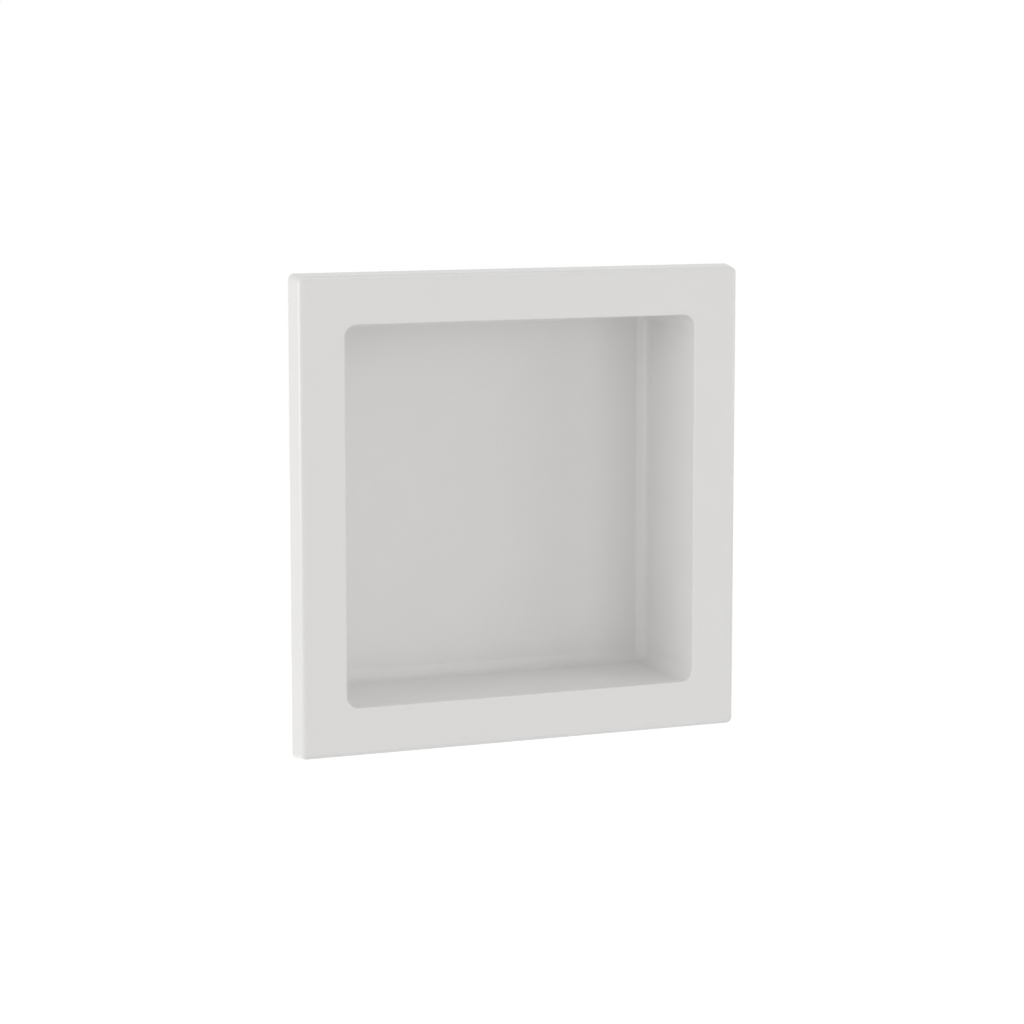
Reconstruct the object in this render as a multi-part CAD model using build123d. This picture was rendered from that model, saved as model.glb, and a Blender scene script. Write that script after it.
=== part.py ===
from build123d import *

import math
import os

# Shower niche insert: a square recess with a wide trim flange, cast in one piece.
# It is drawn as it hangs in the wall: X runs along the wall, Y into it and Z up. The origin is the centre of
# the flange's rear face, so the finished wall is the plane Y = 0 and the room is on the -Y side.

# Opening in the flange's front face
OPENING_WIDTH = 304.8
OPENING_HEIGHT = 304.8
OPENING_EDGE_RADIUS = 1.5

# Flange that covers the cut edge of the wall, with its border measured on the front face
FLANGE_BORDER = 38.1
FLANGE_THICKNESS = 18.0
FLANGE_CORNER_RADIUS = 5.0
FLANGE_FRONT_EDGE_RADIUS = 4.0
FLANGE_DRAFT_DEG = 7.5

# Recess behind the opening, with one radius in all its corners and coves
RECESS_DEPTH = 89.0
RECESS_WALL = 8.0
RECESS_RADIUS = 10.0
RECESS_DRAFT_DEG = 1.0

# The recess's floor falls towards the room, so that water runs out
FLOOR_FALL_DEG = 3.0

# Fillet where the recess leaves the flange's rear face
ROOT_RADIUS = 3.0

# How far the hollow's solid stands out of the front face that it cuts
CUT_MARGIN = 5.0

FRONT_Y = -FLANGE_THICKNESS
FLANGE_SPREAD = FLANGE_THICKNESS * math.tan(math.radians(FLANGE_DRAFT_DEG))
FLANGE_REAR_WIDTH = OPENING_WIDTH + 2 * FLANGE_BORDER + 2 * FLANGE_SPREAD
FLANGE_REAR_HEIGHT = OPENING_HEIGHT + 2 * FLANGE_BORDER + 2 * FLANGE_SPREAD


def runs_into_wall(edge):
    """Whether an edge leads from the room towards the back of the recess."""
    step = (edge @ 1) - (edge @ 0)
    return abs(step.Y) > max(abs(step.X), abs(step.Z))


def flange():
    """The flange as a plate whose edges draw in from the wall to its front face."""
    seat = Plane.XZ * Rectangle(FLANGE_REAR_WIDTH, FLANGE_REAR_HEIGHT)
    plate = extrude(seat, FLANGE_THICKNESS, dir=(0, -1, 0), taper=FLANGE_DRAFT_DEG)
    plate = fillet(plate.edges().filter_by(runs_into_wall), FLANGE_CORNER_RADIUS)
    front = plate.faces().sort_by(Axis.Y)[0]
    return fillet(front.edges(), FLANGE_FRONT_EDGE_RADIUS)


def recess_limits(depth, wall):
    """Half the width, the floor's height and the top's height of the recess at a depth behind the front face."""
    draw_in = depth * math.tan(math.radians(RECESS_DRAFT_DEG))
    floor_rise = depth * math.tan(math.radians(FLOOR_FALL_DEG))
    half_width = OPENING_WIDTH / 2 - draw_in + wall
    floor = -OPENING_HEIGHT / 2 + floor_rise - wall
    top = OPENING_HEIGHT / 2 - draw_in + wall
    return half_width, floor, top


def recess(start, end, wall):
    """The recess between two depths as a solid, its sides moved out by a wall, with rounded corners and back."""
    near_half, near_floor, near_top = recess_limits(start, wall)
    far_half, far_floor, far_top = recess_limits(end, wall)
    block = Wedge(
        2 * near_half,
        end - start,
        near_top - near_floor,
        near_half - far_half,
        far_floor - near_floor,
        near_half + far_half,
        far_top - near_floor,
        align=(Align.MIN, Align.MIN, Align.MIN),
    )
    block = Pos(-near_half, FRONT_Y + start, near_floor) * block
    back = block.faces().sort_by(Axis.Y)[-1]
    rounded = block.edges().filter_by(runs_into_wall) + back.edges()
    return fillet(rounded, RECESS_RADIUS + wall)


def niche_insert():
    """Flange and recess as one solid, with the hollow cut through both."""
    outside = recess(FLANGE_THICKNESS / 2, RECESS_DEPTH + RECESS_WALL, RECESS_WALL)
    hollow = recess(-CUT_MARGIN, RECESS_DEPTH, 0)
    body = flange() + outside

    seat = body.faces().filter_by(Plane.XZ).group_by(Axis.Y)[1][0]
    body = fillet(seat.inner_wires()[0].edges(), ROOT_RADIUS) - hollow
    front = body.faces().sort_by(Axis.Y)[0]
    return fillet(front.inner_wires()[0].edges(), OPENING_EDGE_RADIUS)


os.makedirs("parts", exist_ok=True)
insert = niche_insert()
export_step(insert, "parts/niche_insert.step")
print("niche_insert solids", len(insert.solids()), "faces", len(insert.faces()), "mm3", round(insert.volume))
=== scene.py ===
# %% [markdown]
# # A shower niche insert, from solid to picture
#
# The object is a square shelf that is set into a shower wall: a wide, flat trim flange round a shallow
# recess, cast in one piece from white mineral-filled acrylic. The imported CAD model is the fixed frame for
# everything below. It is in metres, with X along the wall, Y into the wall and Z up, and the wall's
# surface is Y = 0.
#
# The box of the CAD model is kept straight after loading, so that the finished piece can be compared with
# it.

# %% Load the frame
import math
from collections import namedtuple

import bpy
import numpy as np
from mathutils import Matrix, Vector


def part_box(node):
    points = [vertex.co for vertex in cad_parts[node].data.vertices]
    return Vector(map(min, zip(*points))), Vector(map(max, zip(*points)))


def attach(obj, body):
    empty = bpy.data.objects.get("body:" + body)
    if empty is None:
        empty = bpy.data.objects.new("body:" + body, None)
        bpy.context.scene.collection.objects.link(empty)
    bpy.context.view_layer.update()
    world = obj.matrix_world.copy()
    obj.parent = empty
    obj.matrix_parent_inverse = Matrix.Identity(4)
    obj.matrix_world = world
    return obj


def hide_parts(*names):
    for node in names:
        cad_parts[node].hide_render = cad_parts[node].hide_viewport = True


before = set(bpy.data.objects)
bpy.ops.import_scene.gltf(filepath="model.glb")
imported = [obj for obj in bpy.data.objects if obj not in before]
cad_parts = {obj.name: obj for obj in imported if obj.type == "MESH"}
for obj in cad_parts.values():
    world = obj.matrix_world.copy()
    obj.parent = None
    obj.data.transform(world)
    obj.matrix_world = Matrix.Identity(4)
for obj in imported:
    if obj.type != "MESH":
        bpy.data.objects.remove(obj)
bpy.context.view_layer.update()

PIECE = "niche_insert"
MM = 0.001
lowest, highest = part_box(PIECE)
print("CAD box in mm", [round(extent / MM, 2) for extent in highest - lowest])

# %% [markdown]
# ## One loop, carried along a section
#
# The CAD mesh is made of flat facets, which is enough for weight and fit but shows as bands on a glossy
# rounding. So the same form is worked out again as one smooth surface of two parameters. The first
# parameter runs round the niche, along a loop of four straight sides and four corners. The second follows
# the niche's section: from the middle of the recess's back, out to the front, over the flange and round
# to the hidden back. A Bevel modifier could round a box as well, but here the drafts, the radii that meet
# at a corner and the exact normals all follow from one formula.
#
# A point of the loop is known by its side, by its share of the way along that side, and by its share of
# the turn through the corner that follows.

# %% Parameters of the loop
SIDE_STEPS = 20
CORNER_STEPS = 16
SIDE_DIRECTIONS = np.array([[1, 0, 0], [0, 0, 1], [-1, 0, 0], [0, 0, -1]], float)
SIDES = len(SIDE_DIRECTIONS)
INTO_WALL = np.array([0.0, 1.0, 0.0])
INTO_ROOM = -INTO_WALL

along_side = np.concatenate([np.arange(SIDE_STEPS) / SIDE_STEPS, np.ones(CORNER_STEPS)])
through_corner = np.concatenate([np.zeros(SIDE_STEPS), np.arange(CORNER_STEPS) / CORNER_STEPS])
side = np.repeat(np.arange(SIDES), SIDE_STEPS + CORNER_STEPS)
along = np.tile(along_side, SIDES)
turned = np.tile(through_corner, SIDES)
print("points in a loop", len(side))

# %% [markdown]
# ## Turning directions
#
# The corners and edges are rounded as if by a ball that rolls along them. Every rounded point is then a
# centre plus a radius times a direction, and that direction is also the surface's exact normal. From one
# face to the next the direction turns evenly, as the ball's own surface does.

# %% Directions that turn
def turn(start, end, share):
    """Directions a share of the way from start to end on the great circle through both.

    With the angle A between them, the direction is start sin((1 - share) A) + end sin(share A), over sin A.
    """
    angle = np.arccos(np.clip(np.sum(start * end, axis=-1, keepdims=True), -1, 1))
    return (start * np.sin((1 - share) * angle) + end * np.sin(share * angle)) / np.sin(angle)


print("halfway from right to up", turn(SIDE_DIRECTIONS[0], SIDE_DIRECTIONS[1], 0.5).round(3))

# %% [markdown]
# ## Boxes with sloping sides
#
# A casting has draft: its sides lean a little, so that it leaves the mould. Each of the three forms here,
# the hollow, the outside of the recess and the flange, is a box whose four sides lean. A side is given by
# its distance from the Y axis at the front face and by how much that distance changes with depth. The
# centre of the ball that rounds the corners runs on the core, which is the box with each side moved in by
# the radius.

# %% Drafted boxes and their loops
FRONT_Y = lowest.y
DraftedBox = namedtuple("DraftedBox", "distances slopes radius normals")


def drafted_box(distances, slopes, radius):
    """Four leaning sides and the radius between them, with the outward normal at each point of the loop.

    A side at distance d + k (y - front) in direction e has the normal (e - k Y), made one unit long.
    """
    distances = np.array(distances)
    slopes = np.array(slopes)
    normals = SIDE_DIRECTIONS - slopes[:, None] * INTO_WALL
    normals /= np.linalg.norm(normals, axis=1, keepdims=True)
    around = turn(normals[side], normals[(side + 1) % SIDES], turned[:, None])
    return DraftedBox(distances, slopes, radius, around)


def loop(box, reach, y):
    """The loop that stands a distance `reach` out from the box's core, with its points at depth y.

    A point is core + reach × normal. The core's side is d + k (y - front) - radius √(1 + k²) from the
    axis, and the core is read at y - reach × the normal's own depth, so that the point itself lies at y.
    """
    core_y = y - reach * box.normals[:, 1]
    core = box.distances + np.outer(core_y - FRONT_Y, box.slopes) - box.radius * np.sqrt(1 + box.slopes**2)
    this_side = core[:, :, None] * SIDE_DIRECTIONS
    corners = this_side + np.roll(this_side, -1, axis=1)
    point = np.arange(len(side))
    share = along[:, None]
    centres = (1 - share) * corners[point, side - 1] + share * corners[point, side]
    centres[:, 1] = core_y
    return centres + reach * box.normals


print("front face at", round(FRONT_Y / MM, 2), "mm, the wall at 0")

# %% [markdown]
# ## Arcs and flats
#
# The section has only two kinds of band. An arc is a rounding or a cove: the loop of ball centres plus
# the radius times a direction that turns from one face's normal to the next. A negative radius makes it
# hollow. A flat joins the last loop of one arc to the first loop of the next by straight lines, which is
# exact, because the faces between are planes and straight corner cylinders.

# %% Bands of the section
Band = namedtuple("Band", "points normals")


def arc(centres, radius, start, end, steps):
    """Loops of centre + radius × direction. The direction turns from start to end, and is the normal too."""
    directions = turn(start, end, np.linspace(0, 1, steps + 1)[:, None, None])
    directions = np.broadcast_to(directions, (steps + 1, len(side), 3))
    return Band(centres + radius * directions, directions)


def flat(first, last, normal, steps):
    """Loops first + share × (last - first), all with the same normals."""
    share = np.linspace(0, 1, steps + 1)[:, None, None]
    return Band(first + share * (last - first), np.broadcast_to(normal, (steps + 1, len(side), 3)))


print("a band holds", Band._fields)

# %% [markdown]
# ## The recess
#
# The recess is what the eye goes to: its walls draw in towards the back, and its floor slopes to the room
# so that water runs out. One generous radius rounds all its inside corners, so a cloth can reach
# everywhere, and where two coves and a corner meet they make about an eighth of a ball. The mouth has
# only a small rounding, which is why it looks crisp beside the soft back.

# %% Recess from the middle of its back to the mouth
OPENING_HALF = 304.8 / 2 * MM
RECESS_WALL = 8 * MM
RECESS_RADIUS = 10 * MM
RECESS_DRAFT = math.tan(math.radians(1))
FLOOR_FALL = math.tan(math.radians(3))
MOUTH_RADIUS = 1.5 * MM
BACK_Y = highest.y - RECESS_WALL
# The grid of a flat back starts at this share of the way from its middle to its edge
POLE_SHARE = 0.08

recess_slopes = [-RECESS_DRAFT, -RECESS_DRAFT, -RECESS_DRAFT, -FLOOR_FALL]
hollow = drafted_box([OPENING_HALF] * SIDES, recess_slopes, RECESS_RADIUS)
into_hollow = -hollow.normals

cove = arc(loop(hollow, 0, BACK_Y - RECESS_RADIUS), -RECESS_RADIUS, INTO_ROOM, into_hollow, steps=14)
mouth_centres = loop(hollow, RECESS_RADIUS + MOUTH_RADIUS, FRONT_Y + MOUTH_RADIUS)
mouth = arc(mouth_centres, MOUTH_RADIUS, into_hollow, INTO_ROOM, steps=8)
back_edge = cove.points[0]
back_middle = back_edge.mean(axis=0)
back_wall = flat(back_middle + POLE_SHARE * (back_edge - back_middle), back_edge, INTO_ROOM, steps=12)
walls = flat(cove.points[-1], mouth.points[0], into_hollow, steps=12)
print("recess depth in mm", round((BACK_Y - FRONT_Y) / MM, 2), "mouth", round(2 * OPENING_HALF / MM, 1))

# %% [markdown]
# ## The flange
#
# The flange covers the cut edge of the wall. Its front is one flat face, its edges lean in towards the
# room, and its front edge has a rounding that catches the light as a thin bright line. The rounding is
# smaller than the corner radius, so its ball rolls round the corner on a short arc of its own.

# %% Flange from the mouth to the wall
FLANGE_DRAFT = math.tan(math.radians(7.5))
FLANGE_CORNER_RADIUS = 5 * MM
FRONT_EDGE_RADIUS = 4 * MM
WALL_Y = 0.0

front_half = highest.x - (WALL_Y - FRONT_Y) * FLANGE_DRAFT
flange = drafted_box([front_half] * SIDES, [FLANGE_DRAFT] * SIDES, FLANGE_CORNER_RADIUS)
edge_centres = loop(flange, FLANGE_CORNER_RADIUS - FRONT_EDGE_RADIUS, FRONT_Y + FRONT_EDGE_RADIUS)
front_edge = arc(edge_centres, FRONT_EDGE_RADIUS, INTO_ROOM, flange.normals, steps=10)
front_face = flat(mouth.points[-1], front_edge.points[0], INTO_ROOM, steps=6)
wall_edge = loop(flange, FLANGE_CORNER_RADIUS, WALL_Y)
flange_sides = flat(front_edge.points[-1], wall_edge, flange.normals, steps=4)
print("flange border", round((front_half - OPENING_HALF) / MM, 2), "mm on the front face")

# %% [markdown]
# ## The hidden back
#
# Behind the flange the outside of the recess follows the inside at the thickness of its wall, with larger
# radii because it goes round the outside of the same corners. A fillet runs round its root on the flange,
# where a bare inside corner would crack.

# %% Back of the flange and outside of the recess
OUTSIDE_RADIUS = RECESS_RADIUS + RECESS_WALL
ROOT_RADIUS = 3 * MM

outside = drafted_box([OPENING_HALF + RECESS_WALL] * SIDES, recess_slopes, OUTSIDE_RADIUS)
root_centres = loop(outside, OUTSIDE_RADIUS + ROOT_RADIUS, WALL_Y + ROOT_RADIUS)
root = arc(root_centres, -ROOT_RADIUS, INTO_WALL, outside.normals, steps=6)
seat = flat(wall_edge, root.points[0], INTO_WALL, steps=4)
outer_centres = loop(outside, 0, highest.y - OUTSIDE_RADIUS)
outer_rounding = arc(outer_centres, OUTSIDE_RADIUS, outside.normals, INTO_WALL, steps=14)
outer_walls = flat(root.points[-1], outer_rounding.points[0], outside.normals, steps=8)
outer_edge = outer_rounding.points[-1]
outer_middle = outer_edge.mean(axis=0)
outer_back = flat(outer_edge, outer_middle + POLE_SHARE * (outer_edge - outer_middle), INTO_WALL, steps=8)

bands = [back_wall, cove, walls, mouth, front_face, front_edge, flange_sides]
bands += [seat, root, outer_walls, outer_rounding, outer_back]
print("loops in the section", sum(len(band.points) - 1 for band in bands) + 1)

# %% [markdown]
# ## From bands to a mesh
#
# Neighbouring bands share a loop, so each band after the first gives up its own first one. The loops then
# make a grid, and each cell of the grid gives two triangles. Two middle points close the grid at both
# ends. The exact normals go to the corners of the triangles, band by band, so a plane stays flat right up
# to its rounding, and the sharp edge at the wall stays sharp.

# %% Triangles of the niche
def in_loops(grid, next_grid):
    """Four-sided cells between two rows of loops: this point, the one outside it, and their neighbours."""
    return np.stack([grid, next_grid, np.roll(next_grid, -1, axis=1), np.roll(grid, -1, axis=1)], axis=2)


rows = np.concatenate([bands[0].points] + [band.points[1:] for band in bands[1:]])
grid = np.arange(rows.shape[0] * rows.shape[1]).reshape(rows.shape[:2])
cells = in_loops(grid[:-1], grid[1:]).reshape(-1, 4)
normals_before = np.concatenate([band.normals[:-1] for band in bands])
normals_after = np.concatenate([band.normals[1:] for band in bands])
cell_normals = in_loops(normals_before, normals_after).reshape(-1, 4, 3)

vertices = np.concatenate([rows.reshape(-1, 3), [rows[0].mean(axis=0), rows[-1].mean(axis=0)]])
first_pole, last_pole = grid.size, grid.size + 1
front_fan = np.stack([np.full(len(side), first_pole), grid[0], np.roll(grid[0], -1)], axis=1)
rear_fan = np.stack([np.full(len(side), last_pole), np.roll(grid[-1], -1), grid[-1]], axis=1)
fan_normals = np.repeat([INTO_ROOM, INTO_WALL], 3 * len(side), axis=0).reshape(-1, 3, 3)

triangles = np.concatenate([cells[:, [0, 1, 2]], cells[:, [0, 2, 3]], front_fan, rear_fan])
corner_normals = np.concatenate([cell_normals[:, [0, 1, 2]], cell_normals[:, [0, 2, 3]], fan_normals])
print("points", len(vertices), "triangles", len(triangles))

# %% [markdown]
# On the flat back a corner of the loop has no radius, so all the points of its turn fall on one spot.
# They are merged, and the triangles that lose their area by it are dropped, which leaves a closed mesh.
# Points count as one if they agree to a millionth of a millimetre.

# %% Merged points
SAME_DECIMALS = 9

places = vertices.round(SAME_DECIMALS)
_, first_use, merged = np.unique(places, axis=0, return_index=True, return_inverse=True)
vertices = vertices[first_use]
triangles = merged.ravel()[triangles]
has_area = np.all(triangles != np.roll(triangles, 1, axis=1), axis=1)
triangles = triangles[has_area]
corner_normals = corner_normals[has_area]
print("points", len(vertices), "triangles", len(triangles), "dropped", np.sum(~has_area))

# %% [markdown]
# The mesh takes the place of the CAD node and rides on the same body. The enclosed volume is a good test
# of it: it is positive only if the faces point outwards, and it has to be that of the CAD mesh.

# %% Mesh of the niche
LITRES = 1000  # in a cubic metre


def enclosed_volume(vertices, triangles):
    """Sum over the triangles of a · (b × c) / 6, the signed volume between each triangle and the origin."""
    a, b, c = (vertices[triangles[:, k]] for k in range(3))
    return np.sum(a * np.cross(b, c)) / 6


mesh = bpy.data.meshes.new("niche_insert_smooth")
mesh.from_pydata(vertices.tolist(), [], triangles.tolist())
mesh.normals_split_custom_set(corner_normals.reshape(-1, 3).tolist())
niche = bpy.data.objects.new("niche_insert_smooth", mesh)
bpy.context.scene.collection.objects.link(niche)
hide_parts(PIECE)
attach(niche, "root")

cad_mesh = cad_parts[PIECE].data
cad_mesh.calc_loop_triangles()
cad_points = np.array([vertex.co for vertex in cad_mesh.vertices])
cad_triangles = np.array([triangle.vertices for triangle in cad_mesh.loop_triangles])
print("litres", round(enclosed_volume(vertices, triangles) * LITRES, 4))
print("CAD mesh litres", round(enclosed_volume(cad_points, cad_triangles) * LITRES, 4))

# %% [markdown]
# ## Satin-finished, mineral-filled cast acrylic
#
# The casting is acrylic resin with about two thirds fine white mineral in it. It comes out of its mould a
# solid white, a little warm, and is sanded to a satin. The eye sees an even white with a soft gloss: no
# clear mirror image, but a lighter streak in every cove. Close up, the mineral shows as a very faint
# grain, and the sanding leaves patches that are slightly duller than others. All of this is drawn by
# noise in Object coordinates, so it stays with the piece, and each scale is one over a real size.
#
# Colours are written as sRGB hex values, as a paint chart gives them, and Blender's shaders want linear
# light.

# %% Helpers for materials
def linear(hex_colour):
    """An sRGB hex colour as linear RGBA: ((c + 0.055) / 1.055) to the power 2.4, c / 12.92 near black."""
    c = np.array([int(hex_colour[k : k + 2], 16) for k in (1, 3, 5)]) / 255
    return (*np.where(c <= 0.04045, c / 12.92, ((c + 0.055) / 1.055) ** 2.4), 1.0)


def empty_tree(owner):
    """The node tree of a material or world, with nothing in it yet."""
    owner.use_nodes = True
    owner.node_tree.nodes.clear()
    return owner.node_tree


def add(tree, kind, values=None, links=None, **settings):
    """Add a node: settings are its own options, values set its sockets, links join sockets to outputs."""
    node = tree.nodes.new("ShaderNode" + kind)
    for name, value in settings.items():
        setattr(node, name, value)
    for name, value in (values or {}).items():
        node.inputs[name].default_value = value
    for name, output in (links or {}).items():
        tree.links.new(output, node.inputs[name])
    return node


print("sRGB #808080 in linear light", round(linear("#808080")[0], 3))

# %% [markdown]
# The patterns come first. Real filler grains are about 0.1 mm, too fine to show in the render, so they are
# drawn at 1.2 mm and kept faint, and the tooth of the sanding is drawn coarser than it is for the same
# reason. The clouds in the white, the duller patches and the long, shallow waves that a mould leaves in a
# large flat face are all a few centimetres wide.

# %% Patterns of the acrylic
CLOUD_SIZE = 35 * MM
GRAIN_SIZE = 1.2 * MM
SANDING_SIZE = 55 * MM
TOOTH_SIZE = 0.8 * MM
WAVE_SIZE = 70 * MM

acrylic = bpy.data.materials.new("satin_mineral_filled_cast_acrylic")
tree = empty_tree(acrylic)
place = {"Vector": add(tree, "TexCoord").outputs["Object"]}
clouds = add(tree, "TexNoise", {"Scale": 1 / CLOUD_SIZE, "Detail": 3}, place).outputs["Fac"]
grains = add(tree, "TexNoise", {"Scale": 1 / GRAIN_SIZE, "Detail": 1}, place).outputs["Fac"]
sanding = add(tree, "TexNoise", {"Scale": 1 / SANDING_SIZE, "Detail": 4}, place).outputs["Fac"]
tooth = add(tree, "TexNoise", {"Scale": 1 / TOOTH_SIZE, "Detail": 2}, place).outputs["Fac"]
waves = add(tree, "TexNoise", {"Scale": 1 / WAVE_SIZE, "Detail": 0}, place).outputs["Fac"]
print("grains in a metre", round(1 / GRAIN_SIZE), "clouds", round(1 / CLOUD_SIZE))

# %% [markdown]
# The white is a mix of two close whites over the clouds, with slightly darker grains between. Each Map
# Range node spreads the middle of a noise, where most of its values lie, over the share that it gives.
# One white alone would look lifeless close up.

# %% Colour of the acrylic
ACRYLIC_WHITE = "#E6E5E4"
ACRYLIC_SHADE = "#E5E4E3"
GRAIN_GREY = "#DFDEDC"
CLOUD_RANGE = {"From Min": 0.35, "From Max": 0.65}
GRAIN_RANGE = {"From Min": 0.58, "From Max": 0.75, "To Max": 0.5}
# A colour Mix node keeps its share and its two colours in these inputs, and its result in this output
SHARE, FIRST, SECOND, RESULT = 0, 6, 7, 2

cloud_share = add(tree, "MapRange", CLOUD_RANGE, {"Value": clouds}).outputs["Result"]
grain_share = add(tree, "MapRange", GRAIN_RANGE, {"Value": grains}).outputs["Result"]
two_whites = {FIRST: linear(ACRYLIC_WHITE), SECOND: linear(ACRYLIC_SHADE)}
whites = add(tree, "Mix", two_whites, {SHARE: cloud_share}, data_type="RGBA").outputs[RESULT]
over_whites = {SHARE: grain_share, FIRST: whites}
grained = add(tree, "Mix", {SECOND: linear(GRAIN_GREY)}, over_whites, data_type="RGBA").outputs[RESULT]
print("whites", ACRYLIC_WHITE, ACRYLIC_SHADE, "grains", GRAIN_GREY)

# %% [markdown]
# The sanding patches set the roughness, within the narrow range that a satin has. The bump has real
# heights: two thousandths of a millimetre for the tooth and a twentieth for the waves. One bump feeds the
# other, so the tooth lies on the waves. Acrylic's index of refraction gives the gloss its strength.

# %% Gloss and relief of the acrylic
ACRYLIC_IOR = 1.49
SATIN_RANGE = {"From Min": 0.3, "From Max": 0.7, "To Min": 0.21, "To Max": 0.27}
TOOTH_HEIGHT = 0.002 * MM
WAVE_HEIGHT = 0.05 * MM

satin = add(tree, "MapRange", SATIN_RANGE, {"Value": sanding}).outputs["Result"]
wavy = add(tree, "Bump", {"Strength": 1.0, "Distance": WAVE_HEIGHT}, {"Height": waves}).outputs["Normal"]
on_waves = {"Height": tooth, "Normal": wavy}
toothed = add(tree, "Bump", {"Strength": 1.0, "Distance": TOOTH_HEIGHT}, on_waves).outputs["Normal"]
finish = {"Base Color": grained, "Roughness": satin, "Normal": toothed}
surface = add(tree, "BsdfPrincipled", {"IOR": ACRYLIC_IOR}, finish).outputs["BSDF"]
add(tree, "OutputMaterial", links={"Surface": surface})
mesh.materials.append(acrylic)
print(acrylic.name, "has", len(tree.nodes), "nodes")

# %% [markdown]
# ## A white studio
#
# The niche is shown by itself on white, as in a shop's picture. The floor is a pale matt sheet well below
# it. To the camera, and in reflections, the paper also glows a little, so that it comes out white where
# no shadow falls and keeps the shadow where one does. The glow never lights the niche: only camera,
# glossy and transmission rays see it. From below the sheet is clear, so the niche can be looked at from
# every side.

# %% Paper of the floor
FLOOR_WHITE = "#E8E8E8"
FLOOR_GLOW = 0.6


def seen_share(tree):
    """One for camera, glossy and transmission rays and nought for the rest: the largest of three flags."""
    path = add(tree, "LightPath")
    flags = [path.outputs[name] for name in ("Is Camera Ray", "Is Glossy Ray", "Is Transmission Ray")]
    first = add(tree, "Math", links={0: flags[0], 1: flags[1]}, operation="MAXIMUM").outputs[0]
    return add(tree, "Math", links={0: first, 1: flags[2]}, operation="MAXIMUM").outputs[0]


paper = bpy.data.materials.new("matt_white_paper")
tree = empty_tree(paper)
matt = add(tree, "BsdfDiffuse", {"Color": linear(FLOOR_WHITE)}).outputs[0]
glow = add(tree, "Emission", {"Strength": FLOOR_GLOW}).outputs[0]
bright = add(tree, "AddShader", links={0: matt, 1: glow}).outputs[0]
# A Mix Shader node takes its share in input 0 and its two shaders in inputs 1 and 2
sheet = add(tree, "MixShader", links={0: seen_share(tree), 1: matt, 2: bright}).outputs[0]
clear = add(tree, "BsdfTransparent").outputs[0]
underside = add(tree, "NewGeometry").outputs["Backfacing"]
one_sided = add(tree, "MixShader", links={0: underside, 1: sheet, 2: clear}).outputs[0]
add(tree, "OutputMaterial", links={"Surface": one_sided})
print(paper.name, "has", len(tree.nodes), "nodes")

# %% [markdown]
# The sheet itself is one square, wide enough to fill the lower half of the picture. It is part of the
# stage and not of the object.

# %% Floor
FLOOR_Z = -1.0
FLOOR_HALF = 8.0

corners = FLOOR_HALF * np.array([[-1, -1, 0], [1, -1, 0], [1, 1, 0], [-1, 1, 0]]) + [0, 0, FLOOR_Z]
floor_mesh = bpy.data.meshes.new("studio_floor")
floor_mesh.from_pydata(corners.tolist(), [], [[0, 1, 2, 3]])
floor_mesh.materials.append(paper)
floor = bpy.data.objects.new("studio_floor", floor_mesh)
bpy.context.scene.collection.objects.link(floor)
print("floor at", FLOOR_Z, "m")

# %% [markdown]
# The world does the same as the paper: a plain light level for the niche, and pure white for the eye.

# %% World
WORLD_LEVEL = 0.525
PURE_WHITE = (1, 1, 1, 1)

world = bpy.data.worlds.new("white_studio")
bpy.context.scene.world = world
tree = empty_tree(world)
level = add(tree, "Background", {"Color": PURE_WHITE, "Strength": WORLD_LEVEL}).outputs[0]
white = add(tree, "Background", {"Color": PURE_WHITE, "Strength": 1.0}).outputs[0]
both = add(tree, "MixShader", links={0: seen_share(tree), 1: level, 2: white}).outputs[0]
add(tree, "OutputWorld", links={"Surface": both})
print("world level", WORLD_LEVEL)

# %% [markdown]
# ## Soft boxes
#
# Soft boxes shape the light on top of the world's even level, as a product photographer sets them up. The
# strongest stands level with the wall on the left: it brightens the flange's edge strip and the
# right-hand wall of the recess. A faint one farther back on that side draws the bright line along the
# rounding of the front edge. One on the right and a wide one in front lift the front face, and one high
# up lights the top edge and the recess's floor. The last stands behind the wall and shows the hidden back
# in its true white. Each is placed by its bearing, seen from the room, and its height above the horizon,
# and faces the niche.

# %% Lamps
LAMP_DISTANCE = 2.6


def direction_to(bearing, height):
    """The direction (sin b cos h, -cos b cos h, sin h), for a bearing b and a height h in degrees."""
    b, h = math.radians(bearing), math.radians(height)
    return Vector((math.sin(b) * math.cos(h), -math.cos(b) * math.cos(h), math.sin(h)))


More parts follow.
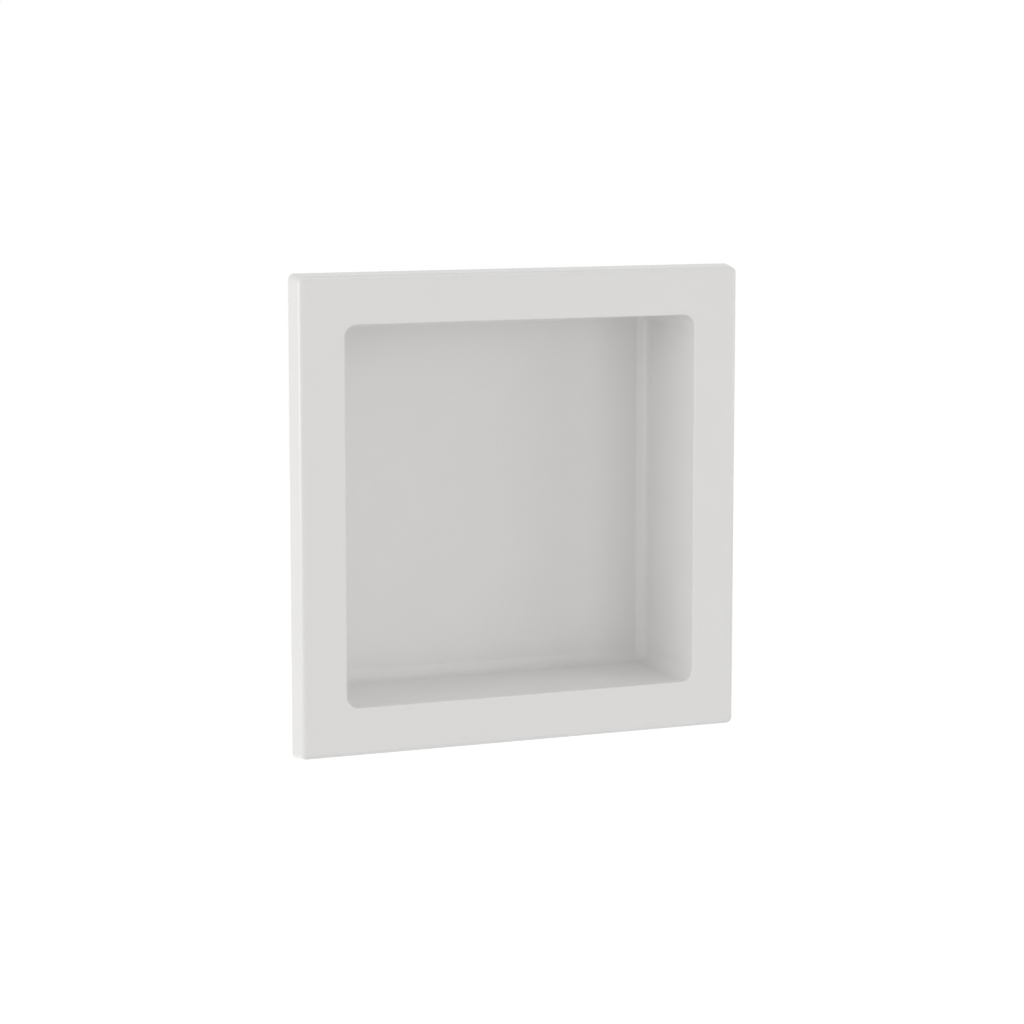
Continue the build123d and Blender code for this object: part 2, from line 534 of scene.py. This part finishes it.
def soft_box(name, bearing, height, size, watts):
    """A square lamp at the lamps' distance in its direction, turned to the origin."""
    direction = direction_to(bearing, height)
    data = bpy.data.lights.new(name, "AREA")
    data.size = size
    data.energy = watts
    lamp = bpy.data.objects.new(name, data)
    lamp.location = LAMP_DISTANCE * direction
    lamp.rotation_euler = (-direction).to_track_quat("-Z", "Y").to_euler()
    lamp.visible_camera = False
    bpy.context.scene.collection.objects.link(lamp)
    print(name, watts, "W at", [round(c, 2) for c in lamp.location])


soft_box("left_soft_box", bearing=-80, height=5, size=1.2, watts=24.5)
soft_box("left_rim_box", bearing=-115, height=10, size=1.2, watts=3)
soft_box("right_soft_box", bearing=58, height=10, size=1.2, watts=11.5)
soft_box("front_soft_box", bearing=11, height=-3, size=2.4, watts=10)
soft_box("overhead_soft_box", bearing=40, height=75, size=1.2, watts=8.8)
soft_box("rear_soft_box", bearing=180, height=-1, size=0.8, watts=18)

# %% [markdown]
# ## The camera
#
# The photograph was taken from the left and a little above, with a long lens, so upright edges stay
# nearly upright. The camera is placed by its bearing and height round the middle of the front face, and
# then moved sideways by a few millimetres, because the niche isn't quite in the middle of the frame.

# %% Camera
CAMERA_BEARING = -23.247
CAMERA_HEIGHT = 7.613
CAMERA_DISTANCE = 2.5117
SENSOR_WIDTH = 36.0
LENS = 109.56
NICHE_RIGHT_OF_AXIS = 9.77 * MM
NICHE_ABOVE_AXIS = 2.39 * MM

backwards = direction_to(CAMERA_BEARING, CAMERA_HEIGHT)
right = Vector((0, 0, 1)).cross(backwards).normalized()
up = backwards.cross(right)
front_middle = Vector((0, FRONT_Y, 0))
spot = front_middle + CAMERA_DISTANCE * backwards - NICHE_RIGHT_OF_AXIS * right - NICHE_ABOVE_AXIS * up

camera_data = bpy.data.cameras.new("camera")
camera_data.sensor_width = SENSOR_WIDTH
camera_data.lens = LENS
camera = bpy.data.objects.new("camera", camera_data)
camera.matrix_world = Matrix.Translation(spot) @ Matrix((right, up, backwards)).transposed().to_4x4()
bpy.context.scene.collection.objects.link(camera)
bpy.context.scene.camera = camera
bpy.context.scene.view_settings.view_transform = "Standard"
print("camera at", [round(c, 3) for c in spot])
